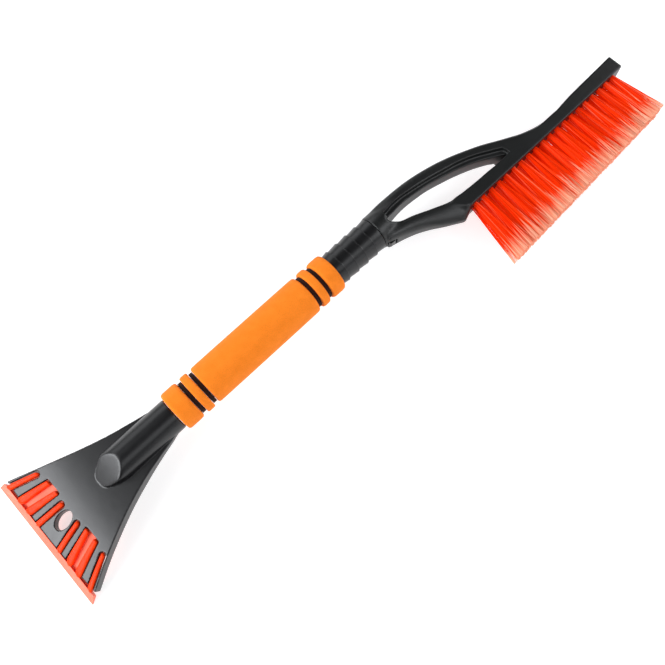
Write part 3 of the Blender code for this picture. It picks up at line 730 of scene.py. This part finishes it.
def make_blade():
    """A strip that lies between the skirts, its bevelled lip in front of the comb, and its ribs."""
    inner = PLATE + 0.5 * MM
    (x1, y1), (x2, y2) = HEAD_OUTLINE[-2:]
    slope = (y2 - y1) / (x1 - x2)
    front_half = y2 * MM - inner
    back_half = front_half - slope * (BLADE_BACK_X - BLADE_LIP_X)
    half = [(BLADE_BACK_X, back_half, 3 * MM), (BLADE_LIP_X, front_half, 0),
            (BLADE_LIP_X - 0.1 * MM, BLADE_LIP_HALF, 0.4 * MM), (BLADE_EDGE_X, BLADE_EDGE_HALF, 0.6 * MM)]
    full = half + [(x, -y, r) for x, y, r in reversed(half)]
    blade = prism("scraper_blade_strip", rounded(full), -HEAD_DEEP, HEAD_DEEP)
    stations = spaced(BLADE_BACK_X, BLADE_LIP_X, 24)
    side = [(x, face_z(x) - BLADE_UNDER) for x in stations]
    side += rounded([(BLADE_LIP_X, BLADE_LIP_Z, 0.5 * MM), (BLADE_EDGE_X, BLADE_EDGE_Z, 0.2 * MM),
                     (BLADE_EDGE_X, BLADE_EDGE_Z - 0.5 * MM, 0.2 * MM),
                     (BLADE_BACK_X, face_z(BLADE_BACK_X) - BLADE_UNDER - 3.4 * MM, 0.8 * MM)])
    blade = common(blade, prism("wedge", side, -80 * MM, 80 * MM, plane="XZ"))
    for sign in (1, -1):
        for index, radius in enumerate(RIB_RADII):
            back, front = rib_line(index, sign)
            along = (front - back).normalized()
            lone = index in (0, 3)
            if lone:
                back = back - along * 2.2 * MM
            front = front + along * 1.6 * MM
            blade = join(blade, make_rib(back, front, radius * MM, 0.7 if lone else 0.6,
                                         1.0 if lone else 0.35))
    reach = BOSS_WALL + 0.4 * MM
    blade = cut(blade, prism("boss_hole", ellipse(HOLE_X, HOLE_HALF[0] + reach, HOLE_HALF[1] + reach),
                             -HEAD_DEEP, HEAD_DEEP))
    blade.name = "scraper_blade_strip"
    thick = []
    for vert in blade.data.vertices:
        x, _, z = vert.co
        if x > BLADE_LIP_X:
            strip_z = face_z(x) - BLADE_UNDER
        else:
            strip_z = BLADE_LIP_Z + (x - BLADE_LIP_X) * BLADE_BEVEL
        thick.append(min(1.0, max(0.0, (z - strip_z) / (1.6 * MM))))
    float_attribute(blade, "thick", thick)
    return blade


# ---------------------------------------------------------------- grip and collar

def sleeve(name, low, high, outer, rounding, swell=0.0):
    """A sleeve on the tube with rounded outer corners and, if it swells, a slightly barrelled side."""
    section = [(high, BORE, 0), (high, outer - swell, rounding)]
    profile = rounded(section + [(low, outer - swell, rounding), (low, BORE, 0)], segments=10)
    if swell:
        sides = []
        for x in spaced(high - rounding * 1.2, low + rounding * 1.2, 41):
            t = (x - low) / (high - low)
            sides.append((x, outer - swell + swell * (1 - (2 * t - 1) ** 6)))
        cut_at = next(i for i, p in enumerate(profile) if p[0] < (low + high) / 2)
        profile = profile[:cut_at] + sides + profile[cut_at:]
    return lathe(name, profile)


def make_grip():
    made = []
    for name in GRIP:
        low, high = (corner.x - AXIS.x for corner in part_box(name))
        if name.startswith("foam"):
            rounding = (2.6 if high - low > 10 * MM else 1.5) * MM
            piece = sleeve(name + "_skin", low, high, FOAM_RADIUS, rounding, swell=0.15 * MM)
        else:
            piece = sleeve(name + "_skin", low, high, SPACER_RADIUS, 0.4 * MM)
        made.append((piece, name))
    return made


def make_collar():
    """Rings that taper towards the foam, each ending in a small step."""
    low, high = (corner.x - AXIS.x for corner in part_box("locking_collar"))
    dip = COLLAR_RADIUS - COLLAR_DIP
    section = [(high, BORE, 0), (high, COLLAR_RADIUS, 0.35 * MM)]
    rim = COLLAR_RADIUS + COLLAR_BEAD
    for step in COLLAR_STEPS:
        x = step * MM
        section += [(x + 0.7 * MM, dip, 0.2 * MM), (x, dip, 0.05 * MM), (x - 0.05 * MM, rim, 0.12 * MM),
                    (x - 0.6 * MM, rim, 0.15 * MM), (x - 0.9 * MM, COLLAR_RADIUS - 0.05 * MM, 0.1 * MM)]
    section += [(low, dip, 0.2 * MM), (low, BORE, 0)]
    collar = lathe("collar_shell", rounded(section, segments=4))
    collar = cut(collar, screw_hole(COLLAR_SCREW_X, COLLAR_RADIUS))
    collar.name = "collar_shell"
    return collar


# ---------------------------------------------------------------- brush handle

OUTER = [(91.0, 15.0), (112.0, 16.2), (163.0, 11.6), (213.0, -4.6), (241.0, -18.8), (256.0, -26.0),
         (275.0, -31.2), (295.0, -32.0), (321.0, -30.8), (375.6, -29.1), (375.6, -44.5),
         (168.8, -44.5), (156.4, -49.3), (140.8, -40.3), (126.6, -31.0),
         (111.2, -23.9), (98.0, -19.6), (91.0, -17.6)]
HAND_HOLE = [(102.2, -2.6), (115.0, 0.9), (147.0, -0.6), (171.0, -5.6), (195.0, -13.0), (210.0, -19.4),
             (232.0, -31.8), (215.0, -32.2), (201.0, -31.6), (180.0, -30.8), (161.0, -28.6),
             (142.0, -21.6), (123.0, -13.6), (105.4, -7.2)]
OUTER_CORNERS = (0, 9, 10, 11, 12, 17)
# The lower arm: a point on its crease and one on its inner edge, each with the direction square to it
CREASE_AT = Vector((155.7, -30.8))
CREASE_NORMAL = Vector((0.805, 0.594))
ARM_INNER_AT = Vector((98.0, -3.0))
ARM_OUTWARD = Vector((-0.348, -0.938))
ARM_THINNED = 0.58            # the share of its thickness that it loses at its outer edge
# The upper arm's step: its high outer band ends along this line, and a recess lies inside it
STEP_LINE = [(104.0, 3.0), (112.0, 5.6), (122.0, 6.4), (144.4, 3.9), (171.6, -1.6), (199.7, -9.4),
             (219.8, -19.2), (229.5, -24.6)]


def loop_slab(name, half, rounding):
    """The whole outline of the brush handle with its hand hole, as a slab."""
    return curve_slab(name, [scaled(OUTER), scaled(HAND_HOLE)], [OUTER_CORNERS, (6,)], -half, half,
                      rounding)


def arm_softness(at):
    """How soft the skin is at a place: the root and both arms are soft, the seam and the block aren't."""
    x, y = at.x / MM, at.y / MM
    # a line through the hand hole parts the two arms
    upper_arm = y > -5.0 - 0.19 * (x - 120.0)
    far_end = (226.0, 262.0) if upper_arm else (150.0, 164.0)
    return between(x, 91.0, 97.0) * (1.0 - between(x, *far_end))


def slope_lower_arm(handle):
    """Thins the lower arm towards its outer edge, up to the crease where the flat block starts."""
    for vert in handle.data.vertices:
        place = Vector((vert.co.x / MM, vert.co.y / MM))
        from_crease = (CREASE_AT - place).dot(CREASE_NORMAL)
        share = between(from_crease, 0.0, 3.0) * between(place.x, 97.0, 116.0)
        across = between((place - ARM_INNER_AT).dot(ARM_OUTWARD), 2.0, 21.0)
        vert.co.z *= 1.0 - ARM_THINNED * share * across ** 1.8


def make_root():
    """The round root with its spigot."""
    profile = [(101.4 * MM, 0, 0), (101.0 * MM, 10 * MM, 2 * MM), (99.4 * MM, 14 * MM, 3 * MM),
               (95.6 * MM, ROOT_RADIUS, 3 * MM), (SEAM_X, ROOT_RADIUS, 0.4 * MM),
               (SEAM_X, SPIGOT_RADIUS, 0), (SPIGOT_END + MM, SPIGOT_RADIUS, 0),
               (SPIGOT_END, SPIGOT_RADIUS - MM, 0), (SPIGOT_END, 0, 0)]
    return lathe("root", rounded(profile), steps=96)


def make_taper():
    """Where both arms grow out of the round root."""
    profile = [(152 * MM, 0, 0), (152 * MM, 8 * MM, 0), (136 * MM, 10.6 * MM, 9 * MM),
               (112 * MM, 14.6 * MM, 9 * MM), (96 * MM, ROOT_RADIUS, 5 * MM),
               (92 * MM, ROOT_RADIUS, 0), (92 * MM, 0, 0)]
    return common(lathe("taper", rounded(profile), steps=96), loop_slab("plan", 20 * MM, 0.0))


def make_block():
    """The flat, crisp part of the handle, from the crease on the lower arm to the end."""
    region = scaled([(156.0, -29.0), (167.5, -44.6), (167.5, -60.0), (400.0, -60.0), (400.0, 20.0),
                     (326.0, 20.0), (321.0, -30.4), (295.0, -33.0), (262.0, -32.5), (240.0, -27.5),
                     (226.0, -26.0), (200.0, -28.0)])
    return common(loop_slab("crisp", LOOP_HALF, 1.0 * MM), prism("region", region, -30 * MM, 30 * MM))


def arm_recess():
    """The recess on the inner half of the upper arm, on its upper side."""
    hole_side = [(231.6, -31.8), (214.0, -27.0), (195.0, -18.0), (171.0, -10.0), (147.0, -5.0),
                 (119.0, -3.0), (105.5, -2.4)]
    last = len(STEP_LINE) - 1
    return curve_slab("recess", [scaled(STEP_LINE + hole_side)], [(last, last + 1, last + 7)],
                      6.2 * MM, 30 * MM, 0.0)


def bristle_pockets():
    """The round pockets of all the clumps, as one cutter."""
    holes = None
    for index in range(TUFTS):
        x = TUFT_FIRST_X + TUFT_PITCH * index
        for shift, z in CLUMP_ROWS:
            hole = rod("hole", (x + shift, BLOCK_FACE_Y - 5 * MM, z), (x + shift, BLOCK_FACE_Y + 8 * MM, z),
                       CLUMP_RADIUS + 0.1 * MM, facets=20)
            holes = join_meshes(holes, hole) if holes else hole
    return holes


def make_brush_handle():
    handle = loop_slab("brush_handle_shell", LOOP_HALF, 5.0 * MM)
    handle = join_meshes(handle, loop_slab("core", 6.0 * MM, 0.3 * MM))
    for part in (make_block(), make_taper(), make_root()):
        handle = join_meshes(handle, part)
    handle = reskinned(handle, 0.6 * MM, 2)
    handle = softened(handle, arm_softness, 120)
    slope_lower_arm(handle)
    handle = cut(handle, arm_recess())
    handle = cut(handle, rod("bore", (SPIGOT_END - 5 * MM, 0, 0), (BORE_END, 0, 0), SPIGOT_BORE))
    low_x, high_x = BUTTON_X[0] - GAP, BUTTON_X[1] + GAP
    pocket = [(low_x, -25 * MM), (high_x, -25 * MM), (high_x, -2 * MM), (low_x, -2 * MM)]
    handle = cut(handle, prism("pocket", pocket, -BUTTON_HALF - GAP, BUTTON_HALF + GAP))
    slot = [(LATCH_X - GAP, -12.2 * MM), (BUTTON_X[0], -12.2 * MM), (BUTTON_X[0], -4 * MM),
            (LATCH_X - GAP, -4 * MM)]
    handle = cut(handle, prism("arm_slot", slot, -ARM_HALF - GAP, ARM_HALF + GAP))
    handle = cut(handle, bristle_pockets())
    handle = reskinned(handle, 0.6 * MM, 2)
    handle.name = "brush_handle_shell"
    return handle


def make_button():
    """The button's cap, its arm and its latch tooth."""
    low_x, high_x = BUTTON_X
    low_y, high_y = BUTTON_Y
    cap = rounded([(low_x, low_y, 2.6 * MM), (high_x, low_y, 2.6 * MM), (high_x, high_y, 0.5 * MM),
                   (low_x, high_y, 0.5 * MM)])
    cap = prism("release_button_cap", cap, -BUTTON_HALF, BUTTON_HALF)
    arm = prism("arm", [(LATCH_X, -10.4 * MM), (low_x + 2.0 * MM, -10.4 * MM),
                        (low_x + 2.0 * MM, -8.6 * MM), (LATCH_X, -8.6 * MM)], -ARM_HALF, ARM_HALF)
    tooth = prism("tooth", [(LATCH_X, -12.4 * MM), (LATCH_X + 2.6 * MM, -12.4 * MM),
                            (LATCH_X + 4.0 * MM, -9.9 * MM), (LATCH_X, -9.9 * MM)],
                  -ARM_HALF + 0.1 * MM, ARM_HALF - 0.1 * MM)
    button = join(join(cap, arm), tooth)
    button = reskinned(button, 0.22 * MM, 4)
    button.name = "release_button_cap"
    return button


def make_spring():
    """The coil spring under the button."""
    low, high = (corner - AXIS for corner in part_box("button_spring"))
    middle = (low + high) / 2
    radius = (high.x - low.x) / 2 - SPRING_WIRE
    bottom, top = low.y + SPRING_WIRE, high.y - SPRING_WIRE
    curve = bpy.data.curves.new("button_coil", "CURVE")
    curve.dimensions = "3D"
    curve.bevel_depth = SPRING_WIRE
    curve.bevel_resolution = 4
    curve.use_fill_caps = True
    spline = curve.splines.new("POLY")
    total = SPRING_TURNS * 32
    spline.points.add(total)
    for i, point in enumerate(spline.points):
        angle = 2 * pi * i * SPRING_TURNS / total
        point.co = (middle.x + radius * cos(angle), bottom + (top - bottom) * i / total,
                    middle.z + radius * sin(angle), 1.0)
    return baked(add(bpy.data.objects.new("button_coil", curve)))


# ---------------------------------------------------------------- bristles

def in_disc(rng):
    angle, reach = rng.uniform(0, 2 * pi), sqrt(rng.random())
    return reach * cos(angle), reach * sin(angle)


def strand_path(index, shift, row_z, lean, across, rng):
    """Root, end and bow of one bristle; across is its place in the round clump, as (u, v)."""
    share = index / (TUFTS - 1)
    root_x = TUFT_FIRST_X + TUFT_PITCH * index + shift
    tip_x = TUFT_TIP_FIRST_X + TUFT_TIP_PITCH * index + shift * 0.3 + lean
    tip_y = TUFT_TIP_Y[0] + (TUFT_TIP_Y[1] - TUFT_TIP_Y[0]) * share
    u, v = across
    root = np.array([root_x + u * CLUMP_RADIUS, ROOT_Y, row_z + v * CLUMP_RADIUS])
    end_x = tip_x + u * TUFT_TIP_SPREAD[0] + rng.gauss(0, 0.35) * MM
    end_z = row_z * 1.7 + v * TUFT_TIP_SPREAD[1] / 2 + rng.gauss(0, 0.35) * MM
    trim = rng.uniform(0.0, 0.6) * MM
    end = np.array([min(TRIM_ENDS[1] - trim, max(TRIM_ENDS[0] + trim, end_x)),
                    tip_y + rng.uniform(-0.3, 0.7) * MM,
                    min(TUFT_TIP_SPREAD[1], max(-TUFT_TIP_SPREAD[1], end_z))])
    return root, end, np.array([rng.gauss(0, 0.35) * MM, 0.0, rng.gauss(0, 0.35) * MM])


def add_strand(path, verts, faces, rng):
    """Adds one three-sided bristle and returns how far along it each of its points is."""
    root, end, bow = path
    gate = (ROOT_Y - BLOCK_FACE_Y + 0.5 * MM) / (ROOT_Y - end[1])
    base = len(verts)
    twist = rng.uniform(0, 2 * pi)
    along = []
    for level in range(STRAND_LEVELS):
        opened = max(0, level - 1) / (STRAND_LEVELS - 2)
        down = gate + (1 - gate) * opened if level else 0.0
        fan = opened ** 1.12
        centre = root + (end - root) * np.array([fan, down, fan]) + bow * sin(pi * opened)
        radius = STRAND_RADIUS * (1.0 if opened < 0.9 else 0.85)
        for k in range(3):
            a = twist + 2 * pi * k / 3
            verts.append((centre[0] + radius * cos(a), centre[1], centre[2] + radius * sin(a)))
            along.append(opened)
    for level in range(STRAND_LEVELS - 1):
        a = base + 3 * level
        for k in range(3):
            j = (k + 1) % 3
            faces.append((a + k, a + j, a + 3 + j, a + 3 + k))
    top = base + 3 * (STRAND_LEVELS - 1)
    faces += [(base, base + 1, base + 2), (top, top + 1, top + 2)]
    return along


def make_tuft(index, rng):
    """One station: three round clumps across the block that fan out and merge at the trimmed tips.

    The bristles of a clump stick together in bundles, and a bundle shares its tint.
    """
    verts, faces, along, offset, tint = [], [], [], [], []
    for shift, row_z in CLUMP_ROWS:
        lean = rng.uniform(-0.4, 0.4) * MM
        for _ in range(BUNDLES):
            u, v = in_disc(rng)
            bundle_offset, bundle_tint = rng.gauss(0, 0.085), rng.random()
            for _ in range(STRANDS):
                place_u = max(-1.0, min(1.0, u + rng.gauss(0, 0.09)))
                place_v = max(-1.0, min(1.0, v + rng.gauss(0, 0.09)))
                path = strand_path(index, shift, row_z, lean, (place_u, place_v), rng)
                added = add_strand(path, verts, faces, rng)
                along += added
                offset += [bundle_offset + rng.gauss(0, 0.05)] * len(added)
                tint += [min(1.0, max(0.0, bundle_tint + rng.gauss(0, 0.1)))] * len(added)
    mesh = bpy.data.meshes.new(f"bristles_{index + 1:02d}")
    mesh.from_pydata(verts, [], faces)
    obj = add(bpy.data.objects.new(mesh.name, mesh))
    maker = bmesh.new()
    maker.from_mesh(mesh)
    bmesh.ops.recalc_face_normals(maker, faces=maker.faces)
    maker.to_mesh(mesh)
    maker.free()
    float_attribute(obj, "along", along)
    float_attribute(obj, "offset", offset)
    float_attribute(obj, "tint", tint)
    return obj


# ---------------------------------------------------------------- build everything

PLASTIC = moulded_plastic("plastic_black", (0.0025, 0.0025, 0.003), (0.0045, 0.0045, 0.0052), 0.31,
                          0.008 * MM)
MATT_PLASTIC = moulded_plastic("plastic_black_matt", (0.005, 0.0055, 0.0055), (0.008, 0.0086, 0.0086), 0.36,
                               0.015 * MM)
FOAM = foam_look()
SPACER = spacer_look()
BLADE = blade_look()
GLOWING_BRISTLE = bristle_look()
TUBE = metal_look("tube_aluminium", (0.62, 0.62, 0.64), (0.78, 0.78, 0.8), 0.35, 0.01 * MM)
STEEL = metal_look("spring_steel_finish", (0.45, 0.45, 0.46), (0.62, 0.62, 0.63), 0.3, 0.005 * MM)

place(make_head(), PLASTIC, HALF, ["scraper_head"], "black_plastic", sharp=0)
place(make_blade(), BLADE, HALF, ["scraper_blade"], "orange_polycarbonate", sharp=30)
for piece, node in make_grip():
    if node.startswith("foam"):
        place(piece, FOAM, HALF, [node], "orange_foam")
    else:
        place(piece, SPACER, HALF, [node], "black_foam")
place(make_collar(), PLASTIC, HALF, ["locking_collar"], "black_plastic", sharp=30)
place(make_brush_handle(), MATT_PLASTIC, BRUSH, ["brush_handle"], "black_plastic", sharp=0)
place(make_button(), PLASTIC, BUTTON, ["release_button"], "black_plastic", sharp=0)
COIL = place(make_spring(), STEEL, BRUSH, ["button_spring"], "steel", sharp=0)
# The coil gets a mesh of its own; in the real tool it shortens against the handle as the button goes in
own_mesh(COIL)
RNG = random.Random(11)
for number in range(TUFTS):
    place(make_tuft(number, RNG), GLOWING_BRISTLE, BRUSH, [f"tuft_{number + 1:02d}"], "orange_bristle", sharp=50)

CARRIED = {"handle_tube": TUBE, "shank_screw": STEEL, "collar_screw": STEEL}
CARRIED.update({f"tuft_anchor_{number + 1:02d}": STEEL for number in range(TUFTS)})
for node, look in CARRIED.items():
    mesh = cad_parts[node].data
    mesh.materials.clear()
    mesh.materials.append(look)


# ---------------------------------------------------------------- studio

def make_floor():
    size = 6.0
    maker = bmesh.new()
    bmesh.ops.create_grid(maker, x_segments=8, y_segments=8, size=size)
    mesh = bpy.data.meshes.new("studio_floor")
    maker.to_mesh(mesh)
    maker.free()
    floor = add(bpy.data.objects.new("studio_floor", mesh))
    mesh.materials.append(floor_look())


def softbox(name, direction, distance, size, power, target=(0.0, 0.0, 0.0)):
    """A soft rectangular light that faces the object."""
    data = bpy.data.lights.new(name, "AREA")
    data.shape = "RECTANGLE"
    data.size, data.size_y = size
    data.energy = power
    data.color = (0.95, 0.97, 1.0)
    lamp = add(bpy.data.objects.new(name, data))
    towards = Vector(direction).normalized()
    lamp.location = Vector(target) + towards * distance
    lamp.rotation_euler = (-towards).to_track_quat("-Z", "Y").to_euler()
    return lamp


def make_world():
    world = bpy.data.worlds.new("studio")
    bpy.context.scene.world = world
    world.use_nodes = True
    background = world.node_tree.nodes["Background"]
    background.inputs["Color"].default_value = (1.0, 1.0, 1.0, 1.0)
    background.inputs["Strength"].default_value = 0.12


def make_camera():
    """The camera looks down on the tool; its place is given from the handle's axis."""
    data = bpy.data.cameras.new("camera")
    data.sensor_width = 36.0
    data.lens = 37.35
    camera = add(bpy.data.objects.new("camera", data))
    right = Vector((0.72098, -0.69245, -0.02651))
    up = Vector((0.66618, 0.68207, 0.30164))
    back = right.cross(up)
    turn = Matrix((right, up, back)).transposed().to_4x4()
    camera.matrix_world = Matrix.Translation(AXIS + Vector((-115.556, -180.706, 564.987)) * MM) @ turn
    bpy.context.scene.camera = camera


make_floor()
make_world()
softbox("blade_side", (-0.80, 0.30, 0.50), 1.4, (1.3, 0.75), 27.0, target=(-0.25, 0.0, 0.0))
softbox("plate_fill", (-0.45, 0.30, 0.84), 1.5, (1.0, 0.9), 2.6, target=(-0.25, 0.0, 0.0))
softbox("key", (-0.05, -0.60, 0.80), 1.5, (1.7, 0.7), 5.5)
softbox("near_side", (0.30, -0.92, 0.26), 1.4, (1.6, 0.6), 3.8)
softbox("arm_side", (0.42, -0.46, 0.80), 1.4, (0.7, 0.5), 3.4, target=(0.12, 0.0, 0.0))
softbox("far_side", (0.0, 0.85, 0.52), 1.5, (1.6, 0.9), 7.0)
softbox("end_side", (0.90, -0.20, 0.42), 1.5, (1.0, 0.6), 6.0)
make_camera()
bpy.context.scene.view_settings.view_transform = "Standard"
